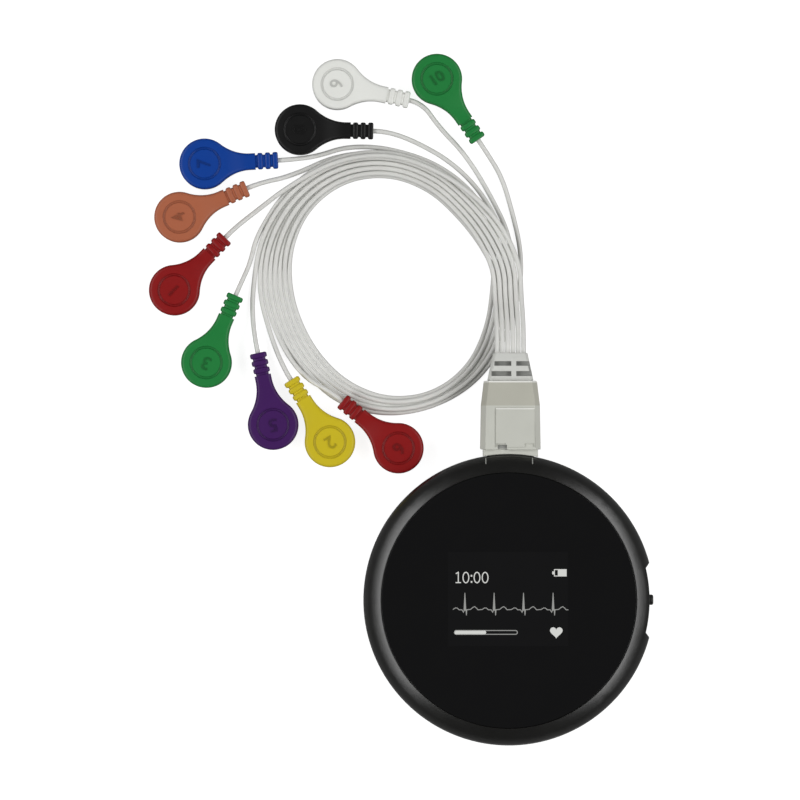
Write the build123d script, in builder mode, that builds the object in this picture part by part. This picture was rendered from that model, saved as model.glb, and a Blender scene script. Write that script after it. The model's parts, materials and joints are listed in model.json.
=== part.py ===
"""Ten-lead Holter monitor: a round recorder with a plug-in set of ten snap leads.

The recorder lies on its back: z = 0 is the surface it rests on and the origin is the
middle of its back face. +Y points out of the cable socket, +X out of the side button.
The leads run from the plug once or twice round one loop and fan out to their heads.
"""
from math import cos, dist, pi, radians, sin, sqrt, tan
import os

from build123d import *

# Recorder case
case_radius = 41.0
case_height = 17.6
case_wall = 2.4
parting_height = 5.0
rim_width = 5.1
rim_drop = 4.2
# Corners of the rounded rim: how far in from the side and how far below the top
rim_corners = ((2.6, 1.15), (0.6, 2.85))
back_edge = 2.2
back_edge_height = 3.0
rear_floor = 1.8
plate_thickness = 1.5

# Front lens
lens_thickness = 1.5
lens_gap = 0.15
lens_drop = 0.2

# Case screws, countersunk in the back
screw_inset = 7.0
screw_count = 4
post_width = 5.2
screw_radius = 0.95
screw_head_radius = 1.9
screw_head_height = 1.0
screw_head_taper = 42.0
screw_gap = 0.05
screw_length = 6.5
screw_head_sides = 12
screw_sides = 6
pilot_spare = 0.8

# Circuit board and what stands on it
board_side_gap = 1.3
board_thickness = 1.2
board_top = 6.4
board_post_gap = 0.3
board_bulkhead_gap = 0.1
shield_size = (11.0, 10.0, 2.4)
shield_wall = 0.3
shield_edge = 0.4
shield_gap = 1.2
chip_width = 6.0
chip_height = 0.9
chip_gap = 2.0
side_chip_y = 6.0
buzzer_width = 8.0
buzzer_height = 2.6
buzzer_hole = 0.6
buzzer_gap = 0.2
buzzer_side_gap = 1.8
board_post = 3.0
board_post_inset = 8.3
board_post_y = 9.0

# Battery
battery_width = 40.0
battery_length = 32.0
battery_corner = 1.5
battery_y = -5.0
tape_thickness = 0.3
tape_margin = 5.0
foam_thickness = 0.8
foam_margin = 7.0

# Display
display_width = 35.6
display_length = 28.0
display_lens_gap = 0.1
window_gap = 0.3
frame_height = 1.9
frame_wall = 2.5
frame_floor = 0.6
flex_width = 12.0
flex_thickness = 0.3
flex_bend = 1.0
flex_gap = 0.15
connector_gap = 1.4
connector_width = 13.0
connector_depth = 3.6
connector_height = 1.6

# Cable socket and the plug's metal sleeve
socket_x = 0.5
socket_z = 9.4
sleeve_width = 13.3
sleeve_height = 4.6
sleeve_wall = 0.4
sleeve_reach = 10.5
sleeve_grip = 3.8
sleeve_gap = 0.2
socket_wall = 0.5
socket_length = 11.4
socket_back = 1.0
socket_seal_thickness = 0.5
socket_seal_wall = 0.4
contact_tongue_width = 11.0
contact_tongue_height = 1.0
contact_tongue_length = 9.0
contact_tongue_edge = 0.3
contact_setback = 0.6
contact_slot_gap = 0.2
bulkhead_inset = 4.6
bulkhead_margin = 2.0
bulkhead_foot = 0.85

# Plug
plug_case_gap = 0.15
nose_width = 15.5
nose_length = 1.3
nose_height = 8.6
plug_width = 17.0
plug_waist_width = 16.6
plug_end_width = 14.9
plug_front_length = 12.4
plug_back_length = 7.0
plug_height = 10.4
plug_edge = 1.4
plug_wall = 1.8
plug_end_wall = 1.2
panel_offset = 1.3
panel_width = 10.9
panel_length = 11.0
panel_rise = 0.35
panel_setback = 0.7
panel_notch_width = 2.6
panel_notch_length = 1.0
panel_notch_spacing = 8.0

# Strain relief
relief_width = 13.0
relief_height = 8.2
relief_taper = 12.0
relief_length = 7.8
relief_gap = 0.05
relief_corner = 0.8
relief_web = 1.4
relief_window_length = 1.4
relief_window_depth = 1.3
relief_window_edge = 0.7
relief_windows_y = (2.0, 4.9)
relief_neck_width = 9.8
relief_neck_height = 5.4
relief_neck_gap = 0.1
relief_flange_width = 11.0
relief_flange_height = 6.4
relief_flange_length = 1.8

# Side button and its switch
recess_depth = 1.35
recess_half_angle = 13.3
recess_mouth_angle = 14.85
recess_floor_z = 6.9
button_width = 2.9
button_height = 4.4
button_z = 9.4
button_rise = 1.2
button_edge = 0.3
button_gap = 0.1
button_flange = 0.9
button_flange_lip = 0.5
seat_margin = 1.0
seat_depth = 0.6
button_flange_thickness = 0.6
button_flange_gap = 0.05
button_seal_width = 0.5
button_travel = 0.5
plunger_width = 1.5
plunger_length = 3.2
plunger_rise = 1.2
plunger_gap = 0.1
switch_depth = 4.2
switch_width = 6.4
switch_crown = 1.8

# Leads: ten thin cords that leave the relief in two rows, follow one loop and fan out
lead_diameter = 1.35
lead_sides = 3
table_gap = 0.05
ribbon_pitch = 1.5
lane_pitch = 1.42
nest_margin = 1.03
loop_x = -33.8
loop_y = 88.1
loop_radius = 28.95
loop_rise = 0.36
loop_oval = 2.76
loop_oval_angle = 66.6
loop_step = 22.5
loop_start = 67.5
# How far the bundle spreads at each step round the loop, from 1 (two layers) to 2.06 (one)
loop_spread = (1.0, 1.0, 1.1, 1.35, 1.75, 2.06, 2.06, 2.06, 2.06, 1.5, 1.2, 1.55)

# Snap heads and their metal sockets
snap_radius = 7.15
snap_height = 6.0
snap_reach = 20.8
neck_width = 4.65
neck_height = 3.4
neck_middle = 3.5
neck_start = 12.9
taper_start = 5.5
taper_end = 10.4
rib_pitch = 2.15
rib_width = 1.5
rib_count = 3
rib_growth = 0.05
core_width = 3.6
core_height = 2.6
stud_bore_radius = 2.0
stud_bore_depth = 3.0
snap_socket_radius = 3.8
snap_socket_height = 3.6
snap_socket_sides = 12
snap_socket_gap = 0.03

# Row and column in the ribbon, slot in the bundle, lane and height where the ribbon opens
# into the bundle, and how many steps round the loop the lead keeps its slot
lead_slots = {
    "orange": ("lower", 0, 0, 0.0, 0.725, 12),
    "black": ("lower", 1, 2, 1.03, 0.725, 12),
    "green_top": ("lower", 2, 4, 2.0, 1.2, 12),
    "yellow": ("lower", 3, 6, 3.0, 1.9, 6),
    "blue": ("upper", 0, 1, 0.5, 3.0, 12),
    "white": ("upper", 1, 3, 1.5, 3.0, 12),
    "red_bottom": ("upper", 2, 5, 2.5, 3.3, 7),
    "purple": ("upper", 3, 7, 3.5, 3.3, 5),
    "green_left": ("upper", 4, 9, 4.5, 3.3, 1),
    "red_left": ("upper", 5, 10, 5.2, 4.9, 0),
}
# Lane and lift off the table at the steps after those, until the lead leaves the loop
lead_lanes = {
    "orange": ((0.0, 0), (0.9, 0), (3.4, 0), (4.3, 0), (4.15, 0), (4.05, 0)),
    "black": ((2.06, 0), (3.3, 0), (5.9, 0), (6.5, 0)),
    "green_top": ((4.12, 0), (6.3, 0)),
    "yellow": ((6.2, 0),),
    "blue": ((1.03, 0), (2.0, 0), (4.6, 0), (5.4, 0), (5.2, 0), (5.1, 0)),
    "white": ((3.09, 0), (4.9, 0), (6.95, 0), (7.7, 0)),
    "red_bottom": ((5.0, 1.5),),
    "purple": ((7.15, 0),),
    "green_left": ((4.6, 1.5), (4.95, 1.6), (5.5, 0), (6.95, 0)),
    "red_left": ((4.0, 2.6), (4.0, 2.75), (4.2, 2.9), (5.6, 1.8)),
}
# Points from the loop to the head: x, y and lift off the table
lead_tails = {
    "orange": ((-48.0, 126.2, 0), (-61.5, 119.9, 0)),
    "black": ((-15.8, 123.8, 0), (-26.2, 129.7, 0)),
    "green_top": ((3.7, 99.0, 0), (1.2, 109.8, 0), (-1.8, 119.8, 0)),
    "yellow": (),
    "blue": ((-45.6, 128.4, 0), (-53.9, 125.6, 0)),
    "white": ((-12.4, 126.4, 0), (-19.6, 133.8, 0.3)),
    "red_bottom": (),
    "purple": ((-72.5, 79.9, 0),),
    "green_left": ((-73.1, 95.3, 0.8),),
    "red_left": ((-71.0, 110.3, 0),),
}
# Middle of each snap head and the direction of its neck in degrees
snap_places = {
    "orange": (-93.1, 108.2, 23.2),
    "black": (-59.0, 133.0, -1.1),
    "green_top": (-20.2, 147.3, -55.8),
    "yellow": (-50.5, 44.5, 122.1),
    "blue": (-86.0, 123.3, 2.8),
    "white": (-48.4, 145.8, -12.4),
    "red_bottom": (-31.1, 42.75, 140.1),
    "purple": (-66.6, 49.4, 102.0),
    "green_left": (-85.5, 67.0, 66.5),
    "red_left": (-94.6, 87.5, 45.9),
}
# Ribbon between the relief and the loop. Points from the middle of the relief's end, with
# how far the lower row has slid inwards, and then steps at angles of the loop: the lane of
# the ribbon's middle, its height and the slide
ribbon_points = ((0, 0, 0, 0), (0, 3.3, 0, 0), (-0.1, 9.3, -2.15, 0), (-0.6, 16.3, -5.05, 0.4))
ribbon_steps = ((10.0, 4.25, 3.5, 0.8), (27.0, 3.65, 3.35, 1.2))
ribbon_columns = {"upper": 6, "lower": 4}
bundle_angle = 45.0
neck_run = 3.9
corner_share = 0.45

os.makedirs("parts", exist_ok=True)


def save(part, label):
    part.label = label
    export_step(part, f"parts/{label}.step")


# Front housing
cavity_radius = case_radius - case_wall
board_bottom = board_top - board_thickness
plate_top = case_height - lens_drop - lens_thickness
plate_bottom = plate_top - plate_thickness
lens_radius = case_radius - rim_width
pocket_radius = lens_radius + lens_gap
rim_profile = [(case_radius - inset, case_height - drop) for inset, drop in rim_corners]
window_width = display_width + 2 * window_gap
window_length = display_length + 2 * window_gap
recess_radius = case_radius - recess_depth
bulkhead_y = case_radius - bulkhead_inset
screw_circle = case_radius - screw_inset
flange_width = button_width + 2 * button_flange
flange_height = button_height + 2 * button_flange_lip
mouth_width = sleeve_width + 2 * sleeve_gap
mouth_height = sleeve_height + 2 * sleeve_gap
bulkhead_bottom = socket_z - mouth_height / 2 - bulkhead_foot
above_case = 2 * case_height


def at_angle(radius, angle):
    return (radius * cos(radians(angle)), radius * sin(radians(angle)))


with BuildPart() as front_housing:
    with BuildSketch(Plane.XZ):
        with BuildLine():
            Polyline(
                (pocket_radius, case_height),
                (pocket_radius, plate_top),
                (0, plate_top),
                (0, plate_bottom),
                (cavity_radius, plate_bottom),
                (cavity_radius, parting_height),
                (case_radius, parting_height),
                (case_radius, case_height - rim_drop),
                *reversed(rim_profile),
                close=True,
            )
        make_face()
    revolve(axis=Axis.Z)
    # Window for the display
    with BuildSketch(Plane.XY.offset(plate_bottom)):
        Rectangle(window_width, window_length)
    extrude(amount=plate_thickness, mode=Mode.SUBTRACT)
    # Screw posts down to the rear floor
    with BuildSketch(Plane.XY.offset(rear_floor)):
        with PolarLocations(screw_circle, screw_count, start_angle=45):
            Rectangle(post_width, post_width)
    extrude(amount=plate_bottom - rear_floor)
    with BuildSketch(Plane.XY.offset(rear_floor)):
        with PolarLocations(screw_circle, screw_count, start_angle=45):
            RegularPolygon(screw_radius + screw_gap, screw_sides)
    extrude(amount=screw_length - rear_floor + pilot_spare, mode=Mode.SUBTRACT)
    # Bulkhead that the cable socket seals against
    with BuildSketch(Plane.XY.offset(bulkhead_bottom)):
        with Locations((socket_x, bulkhead_y)):
            Rectangle(
                mouth_width + 2 * bulkhead_margin,
                cavity_radius - bulkhead_y,
                align=(Align.CENTER, Align.MIN),
            )
    extrude(amount=plate_bottom - bulkhead_bottom)
    # Opening for the plug's sleeve, through the bulkhead and the wall
    with BuildSketch(Plane.XZ.offset(-bulkhead_y)):
        with Locations((socket_x, socket_z)):
            Rectangle(mouth_width, mouth_height)
    extrude(amount=-(case_radius + case_wall - bulkhead_y), mode=Mode.SUBTRACT)
    # Finger recess with slanted ends
    with BuildSketch(Plane.XY.offset(recess_floor_z)):
        with BuildLine():
            far_x = case_radius + recess_depth
            outer_corner = at_angle(case_radius, recess_mouth_angle)
            floor_corner = at_angle(recess_radius, recess_half_angle)
            ThreePointArc(
                (floor_corner[0], -floor_corner[1]), (recess_radius, 0), floor_corner
            )
            Polyline(
                floor_corner,
                outer_corner,
                (far_x, outer_corner[1]),
                (far_x, -outer_corner[1]),
                (outer_corner[0], -outer_corner[1]),
                (floor_corner[0], -floor_corner[1]),
            )
        make_face()
    extrude(amount=above_case - recess_floor_z, mode=Mode.SUBTRACT)
    # Flat seat for the button's flange, and the button hole
    with BuildSketch(Plane.YZ.offset(cavity_radius)):
        with Locations((0, button_z)):
            Rectangle(flange_width + 2 * seat_margin, flange_height + 2 * button_gap)
    extrude(amount=-seat_depth, mode=Mode.SUBTRACT)
    with BuildSketch(Plane.YZ.offset(cavity_radius - seat_depth)):
        with Locations((0, button_z)):
            SlotOverall(button_height + 2 * button_gap, button_width + 2 * button_gap, rotation=90)
    extrude(amount=case_wall + seat_depth, mode=Mode.SUBTRACT)
save(front_housing.part, "front_housing")

# Front lens, bonded on the plate
with BuildPart() as front_lens:
    with BuildSketch(Plane.XY.offset(plate_top)):
        Circle(lens_radius)
    extrude(amount=lens_thickness)
save(front_lens.part, "front_lens")

# Rear housing
board_post_span = 2 * (cavity_radius - board_side_gap - board_post_inset)
with BuildPart() as rear_housing:
    with BuildSketch(Plane.XZ):
        with BuildLine():
            Polyline(
                (case_radius, parting_height),
                (cavity_radius, parting_height),
                (cavity_radius, rear_floor),
                (0, rear_floor),
                (0, 0),
                (case_radius - back_edge, 0),
                (case_radius, back_edge_height),
                close=True,
            )
        make_face()
    revolve(axis=Axis.Z)
    with BuildSketch(Plane.XY.offset(rear_floor)):
        with GridLocations(board_post_span, 2 * board_post_y, 2, 2):
            Rectangle(board_post, board_post)
    extrude(amount=board_bottom - rear_floor)
    with BuildSketch():
        with PolarLocations(screw_circle, screw_count, start_angle=45):
            RegularPolygon(screw_head_radius + screw_gap, screw_head_sides)
    extrude(amount=screw_head_height, taper=screw_head_taper, mode=Mode.SUBTRACT)
    with BuildSketch():
        with PolarLocations(screw_circle, screw_count, start_angle=45):
            RegularPolygon(screw_radius + screw_gap, screw_sides)
    extrude(amount=rear_floor, mode=Mode.SUBTRACT)
save(rear_housing.part, "rear_housing")

with BuildPart() as housing_screws:
    with BuildSketch():
        with PolarLocations(screw_circle, screw_count, start_angle=45):
            RegularPolygon(screw_head_radius, screw_head_sides)
    extrude(amount=screw_head_height, taper=screw_head_taper)
    with BuildSketch():
        with PolarLocations(screw_circle, screw_count, start_angle=45):
            RegularPolygon(screw_radius, screw_sides)
    extrude(amount=screw_length)
save(housing_screws.part, "housing_screws")

# Circuit board: a square with its corners cut back to clear the screw posts
board_corner = sqrt(2) * (screw_circle - post_width / 2 - board_post_gap)
board_x = cavity_radius - board_side_gap
board_y = bulkhead_y - socket_seal_thickness - board_bulkhead_gap
with BuildPart() as main_board:
    with BuildSketch(Plane.XY.offset(board_bottom)):
        with BuildLine():
            corner_x = board_corner - board_y
            corner_y = board_corner - board_x
            Polyline(
                (board_x, corner_y),
                (corner_x, board_y),
                (-corner_x, board_y),
                (-board_x, corner_y),
                (-board_x, -corner_y),
                (-corner_x, -board_y),
                (corner_x, -board_y),
                (board_x, -corner_y),
                close=True,
            )
        make_face()
    extrude(amount=board_thickness)
save(main_board.part, "main_board")

# Parts on the board, set round the socket, the battery and the screw posts
socket_width = mouth_width + 2 * socket_wall
battery_front_y = battery_y - battery_length / 2
battery_back_y = battery_y + battery_length / 2
post_side = screw_circle / sqrt(2) - post_width / 2
shield_place = (
    (socket_x - socket_width / 2 - post_side) / 2,
    battery_back_y + shield_gap + shield_size[1] / 2,
)
connector_y = battery_front_y - connector_gap - connector_depth / 2
chip_reach = chip_gap + chip_width / 2
chip_places = [
    (socket_x + socket_width / 2 + chip_reach, battery_back_y + chip_reach),
    (battery_width / 2 + chip_reach, side_chip_y),
    (connector_width / 2 + chip_reach, battery_front_y - chip_reach),
]
buzzer_place = (
    -connector_width / 2 - buzzer_side_gap - buzzer_width / 2,
    battery_front_y - buzzer_gap - buzzer_width / 2,
)
with BuildPart() as shield_can:
    with BuildSketch(Plane.XY.offset(board_top)):
        with Locations(shield_place):
            Rectangle(shield_size[0], shield_size[1])
    extrude(amount=shield_size[2])
    chamfer(shield_can.faces().sort_by(Axis.Z)[-1].edges(), shield_edge)
    with BuildSketch(Plane.XY.offset(board_top)):
        with Locations(shield_place):
            Rectangle(shield_size[0] - 2 * shield_wall, shield_size[1] - 2 * shield_wall)
    extrude(amount=shield_size[2] - 2 * shield_wall, mode=Mode.SUBTRACT)
save(shield_can.part, "shield_can")

with BuildPart() as board_chips:
    with BuildSketch(Plane.XY.offset(board_top)):
        with Locations(*chip_places):
            Rectangle(chip_width, chip_width)
    extrude(amount=chip_height)
save(board_chips.part, "board_chips")

with BuildPart() as buzzer:
    with BuildSketch(Plane.XY.offset(board_top)):
        with Locations(buzzer_place):
            Rectangle(buzzer_width, buzzer_width)
    extrude(amount=buzzer_height)
    with BuildSketch(Plane.XY.offset(board_top + buzzer_height)):
        with Locations(buzzer_place):
            Circle(buzzer_hole)
    extrude(amount=-buzzer_height / 2, mode=Mode.SUBTRACT)
save(buzzer.part, "buzzer")

# Battery on its tape, which fills the height left under the display tray and its foam
tape_top = board_top + tape_thickness
foam_top = plate_bottom - frame_height
battery_top = foam_top - foam_thickness
with BuildPart() as battery_tape:
    with BuildSketch(Plane.XY.offset(board_top)):
        with Locations((0, battery_y)):
            Rectangle(battery_width - 2 * tape_margin, battery_length - 2 * tape_margin)
    extrude(amount=tape_thickness)
save(battery_tape.part, "battery_tape")

with BuildPart() as battery_cell:
    with BuildSketch(Plane.XY.offset(tape_top)):
        with Locations((0, battery_y)):
            Rectangle(battery_width, battery_length)
    extrude(amount=battery_top - tape_top)
    chamfer(battery_cell.edges().filter_by(Axis.Z), battery_corner)
save(battery_cell.part, "battery_cell")

with BuildPart() as battery_foam:
    with BuildSketch(Plane.XY.offset(battery_top)):
        with Locations((0, battery_y)):
            Rectangle(battery_width - 2 * foam_margin, battery_length - 2 * foam_margin)
    extrude(amount=foam_thickness)
save(battery_foam.part, "battery_foam")

# Display in its tray under the window
panel_bottom = foam_top + frame_floor
panel_top = plate_top - display_lens_gap
flex_z = panel_bottom + flex_gap + flex_thickness / 2
with BuildPart() as display_frame:
    with BuildSketch(Plane.XY.offset(foam_top)):
        Rectangle(window_width + 2 * frame_wall, window_length + 2 * frame_wall)
    extrude(amount=plate_bottom - foam_top)
    with BuildSketch(Plane.XY.offset(panel_bottom)):
        Rectangle(window_width, window_length)
    extrude(amount=plate_bottom - panel_bottom, mode=Mode.SUBTRACT)
    with BuildSketch(Plane.XY.offset(panel_bottom)):
        with Locations((0, -window_length / 2)):
            Rectangle(flex_width + 2 * flex_gap, 4 * frame_wall)
    extrude(amount=flex_thickness + 2 * flex_gap, mode=Mode.SUBTRACT)
save(display_frame.part, "display_frame")

with BuildPart() as display_panel:
    with BuildSketch(Plane.XY.offset(panel_bottom)):
        Rectangle(display_width, display_length)
    extrude(amount=panel_top - panel_bottom)
save(display_panel.part, "display_panel")

flex_start_y = -display_length / 2
connector_top = board_top + connector_height
with BuildPart() as display_cable:
    with BuildLine() as flex_path:
        FilletPolyline(
            (0, flex_start_y, flex_z),
            (0, connector_y, flex_z),
            (0, connector_y, connector_top),
            radius=flex_bend,
        )
    with BuildSketch(Plane.XZ.offset(-flex_start_y)):
        with Locations((0, flex_z)):
            Rectangle(flex_width, flex_thickness)
    sweep(path=flex_path.wires()[0])
save(display_cable.part, "display_cable")

with BuildPart() as display_connector:
    with Locations((0, connector_y, board_top)):
        Box(
            connector_width,
            connector_depth,
            connector_height,
            align=(Align.CENTER, Align.CENTER, Align.MIN),
        )
save(display_connector.part, "display_connector")

# Cable socket behind the bulkhead
socket_front = bulkhead_y - socket_seal_thickness
socket_height = mouth_height + 2 * socket_wall
with BuildPart() as cable_socket:
    with BuildSketch(Plane.XZ.offset(-socket_front)):
        with Locations((socket_x, socket_z)):
            Rectangle(socket_width, socket_height)
    extrude(amount=socket_length)
    with BuildSketch(Plane.XZ.offset(-socket_front)):
        with Locations((socket_x, socket_z)):
            Rectangle(mouth_width, mouth_height)
    extrude(amount=socket_length - socket_back, mode=Mode.SUBTRACT)
save(cable_socket.part, "cable_socket")

socket_inner_end = socket_front - socket_length + socket_back
with BuildPart() as socket_tongue:
    with BuildSketch(Plane.XZ.offset(-socket_inner_end)):
        with Locations((socket_x, socket_z)):
            Rectangle(contact_tongue_width, contact_tongue_height)
    extrude(amount=-contact_tongue_length)
    tip = socket_tongue.faces().sort_by(Axis.Y)[-1]
    chamfer(tip.edges().filter_by(Axis.X), contact_tongue_edge)
save(socket_tongue.part, "socket_tongue")

with BuildPart() as socket_seal:
    with BuildSketch(Plane.XZ.offset(-socket_front)):
        with Locations((socket_x, socket_z)):
            Rectangle(mouth_width + 2 * socket_seal_wall, mouth_height + 2 * socket_seal_wall)
            Rectangle(mouth_width, mouth_height, mode=Mode.SUBTRACT)
    extrude(amount=-socket_seal_thickness)
save(socket_seal.part, "socket_seal")

# Side button: key, retaining flange, rubber ring and the switch behind
button_face = recess_radius + button_rise
flange_face = cavity_radius - button_flange_gap
flange_back = flange_face - button_flange_thickness
plunger_bore = plunger_width + 2 * plunger_gap
with BuildPart() as side_button:
    with BuildSketch(Plane.YZ.offset(flange_back)):
        with Locations((0, button_z)):
            Rectangle(flange_width, flange_height)
    extrude(amount=button_flange_thickness)
    with BuildSketch(Plane.YZ.offset(flange_face)):
        with Locations((0, button_z)):
            SlotOverall(button_height, button_width, rotation=90)
    extrude(amount=button_face - flange_face)
    chamfer(side_button.faces().sort_by(Axis.X)[-1].edges(), button_edge)
save(side_button.part, "side_button")

with BuildPart() as button_seal:
    with BuildSketch(Plane.YZ.offset(flange_back)):
        with Locations((0, button_z)):
            Rectangle(flange_width, flange_height)
            Rectangle(plunger_bore, plunger_bore, mode=Mode.SUBTRACT)
    extrude(amount=-button_seal_width)
save(button_seal.part, "button_seal")

switch_face = flange_back - plunger_rise
with BuildPart() as switch_plunger:
    with BuildSketch(Plane.YZ.offset(flange_back)):
        with Locations((0, button_z)):
            Rectangle(plunger_width, plunger_width)
    extrude(amount=-plunger_length)
save(switch_plunger.part, "switch_plunger")

switch_top = button_z + switch_crown
bore_depth = plunger_length - plunger_rise + button_travel + plunger_gap
with BuildPart() as switch_body:
    with Locations((switch_face, 0, board_top)):
        Box(
            switch_depth,
            switch_width,
            switch_top - board_top,
            align=(Align.MAX, Align.CENTER, Align.MIN),
        )
    with BuildSketch(Plane.YZ.offset(switch_face)):
        with Locations((0, button_z)):
            Rectangle(plunger_bore, plunger_bore)
    extrude(amount=-bore_depth, mode=Mode.SUBTRACT)
save(switch_body.part, "switch_body")

# Plug: two shells that meet at the socket's height
nose_y = case_radius + plug_case_gap
nose_back = nose_y + nose_length
waist_y = nose_back + plug_front_length
plug_end_y = waist_y + plug_back_length
plug_plane = Plane.XY.offset(socket_z - plug_height / 2)
nose_plane = Plane.XY.offset(socket_z - nose_height / 2)
panel_y = nose_back + panel_setback
sleeve_back = nose_back + sleeve_grip
cavity_width = plug_end_width - 2 * plug_wall
cavity_height = plug_height - 2 * plug_wall


def plug_solid():
    with BuildPart() as body:
        with BuildSketch(plug_plane):
            Polygon(
                (socket_x - plug_width / 2, nose_back),
                (socket_x + plug_width / 2, nose_back),
                (socket_x + plug_waist_width / 2, waist_y),
                (socket_x + plug_end_width / 2, plug_end_y),
                (socket_x - plug_end_width / 2, plug_end_y),
                (socket_x - plug_waist_width / 2, waist_y),
                align=None,
            )
        extrude(amount=plug_height)
        rails = body.faces().filter_by(Axis.Z).edges().filter_by(lambda e: abs(e.tangent_at(0).Y) > 0.5)
        chamfer(rails, plug_edge)
        with BuildSketch(nose_plane):
            with Locations((socket_x, nose_back)):
                Rectangle(nose_width, 2 * nose_length, align=(Align.CENTER, Align.MAX))
        extrude(amount=nose_height)
        # The nose follows the round case
        with BuildSketch(nose_plane):
            Circle(nose_y)
        extrude(amount=nose_height, mode=Mode.SUBTRACT)
        # Raised grip panel with two notches at its front
        with BuildSketch(Plane.XY.offset(socket_z + plug_height / 2)):
            with Locations((socket_x + panel_offset, panel_y)):
                Rectangle(panel_width, panel_length, align=(Align.CENTER, Align.MIN))
            for side in (-1, 1):
                with Locations((socket_x + panel_offset + side * panel_notch_spacing / 2, panel_y)):
                    Rectangle(
                        panel_notch_width,
                        panel_notch_length,
                        align=(Align.CENTER, Align.MIN),
                        mode=Mode.SUBTRACT,
                    )
        extrude(amount=panel_rise)
        # Hollow for the sleeve, the wires and the relief's flange
        with BuildSketch(Plane.XZ.offset(-nose_back - plug_wall)):
            with Locations((socket_x, socket_z)):
                Rectangle(cavity_width, cavity_height)
        extrude(amount=-(plug_end_y - plug_end_wall - nose_back - plug_wall), mode=Mode.SUBTRACT)
        with BuildSketch(Plane.XZ.offset(-nose_y + case_wall)):
            with Locations((socket_x, socket_z)):
                Rectangle(sleeve_width, sleeve_height)
        extrude(amount=-(sleeve_back - nose_y + case_wall), mode=Mode.SUBTRACT)
        with BuildSketch(Plane.XZ.offset(-plug_end_y)):
            with Locations((socket_x, socket_z)):
                Rectangle(
                    relief_neck_width + 2 * relief_neck_gap,
                    relief_neck_height + 2 * relief_neck_gap,
                )
        extrude(amount=2 * plug_end_wall, mode=Mode.SUBTRACT)
    return body.part


for shell_name, kept_side in (("plug_upper_shell", Keep.TOP), ("plug_lower_shell", Keep.BOTTOM)):
    with BuildPart() as shell:
        add(plug_solid())
        split(bisect_by=Plane.XY.offset(socket_z), keep=kept_side)
    save(shell.part, shell_name)

sleeve_front = nose_y - sleeve_reach
with BuildPart() as plug_shield:
    with BuildSketch(Plane.XZ.offset(-sleeve_front)):
        with Locations((socket_x, socket_z)):
            Rectangle(sleeve_width, sleeve_height)
            Rectangle(
                sleeve_width - 2 * sleeve_wall,
                sleeve_height - 2 * sleeve_wall,
                mode=Mode.SUBTRACT,
            )
    extrude(amount=-(sleeve_back - sleeve_front))
save(plug_shield.part, "plug_shield")

contact_front = sleeve_front + contact_setback
with BuildPart() as plug_contacts:
    with BuildSketch(Plane.XZ.offset(-contact_front)):
        with Locations((socket_x, socket_z)):
            Rectangle(sleeve_width - 2 * sleeve_wall, sleeve_height - 2 * sleeve_wall)
    extrude(amount=-(sleeve_back - contact_front))
    with BuildSketch(Plane.XZ.offset(-contact_front)):
        with Locations((socket_x, socket_z)):
            Rectangle(
                contact_tongue_width + 2 * contact_slot_gap,
                contact_tongue_height + 2 * contact_slot_gap,
            )
    extrude(amount=-contact_tongue_length, mode=Mode.SUBTRACT)
save(plug_contacts.part, "plug_contacts")

# Strain relief: a taper with four windows above and four below
relief_y = plug_end_y + relief_gap
lead_start_y = relief_y + relief_length
flange_y = plug_end_y - plug_end_wall - relief_neck_gap - relief_flange_length
relief_narrowing = relief_length * tan(radians(relief_taper))
with BuildPart() as strain_relief:
    with BuildSketch(Plane.XY.offset(socket_z - relief_height / 2)):
        Polygon(
            (socket_x - relief_width / 2, relief_y),
            (socket_x + relief_width / 2, relief_y),
            (socket_x + relief_width / 2 - relief_narrowing, lead_start_y),
            (socket_x - relief_width / 2 + relief_narrowing, lead_start_y),
            align=None,
        )
    extrude(amount=relief_height)
    with BuildSketch(Plane.YZ.offset(socket_x)):
        Polygon(
            (relief_y, socket_z - relief_height / 2),
            (lead_start_y, socket_z - relief_height / 2 + relief_narrowing),
            (lead_start_y, socket_z + relief_height / 2 - relief_narrowing),
            (relief_y, socket_z + relief_height / 2),
            align=None,
        )
    extrude(amount=relief_width / 2, both=True, mode=Mode.INTERSECT)
    chamfer(strain_relief.edges().filter_by(lambda e: abs(e.tangent_at(0).Y) > 0.5), relief_corner)
    for start_y in relief_windows_y:
        drawn_in = (start_y + relief_window_length / 2) * tan(radians(relief_taper))
        half_width = relief_width / 2 - drawn_in
        half_height = relief_height / 2 - drawn_in
        window_span = half_width - relief_web / 2 - relief_window_edge
        for side in (-1, 1):
            for face in (-1, 1):
                with Locations(
                    (
                        socket_x + side * (relief_web + window_span) / 2,
                        relief_y + start_y + relief_window_length / 2,
                        socket_z + face * half_height,
                    )
                ):
                    Box(
                        window_span,
                        relief_window_length,
                        2 * relief_window_depth,
                        mode=Mode.SUBTRACT,
                    )
    with BuildSketch(Plane.XZ.offset(-relief_y)):
        with Locations((socket_x, socket_z)):
            Rectangle(relief_neck_width, relief_neck_height)
    extrude(amount=relief_y - flange_y)
    with BuildSketch(Plane.XZ.offset(-flange_y)):
        with Locations((socket_x, socket_z)):
            Rectangle(relief_flange_width, relief_flange_height)
    extrude(amount=-relief_flange_length)
save(strain_relief.part, "strain_relief")

# Leads
lead_floor = lead_diameter / 2 + table_gap


def loop_point(angle, lane, height):
    edge = (
        loop_radius
        + loop_rise * sin(radians(angle))
        + loop_oval * cos(radians(2 * (angle + loop_oval_angle)))
    )
    reach = (edge + lead_diameter / 2 + lane * lane_pitch) / cos(radians(loop_step / 2))
    return (loop_x + reach * cos(radians(angle)), loop_y + reach * sin(radians(angle)), height)


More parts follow.
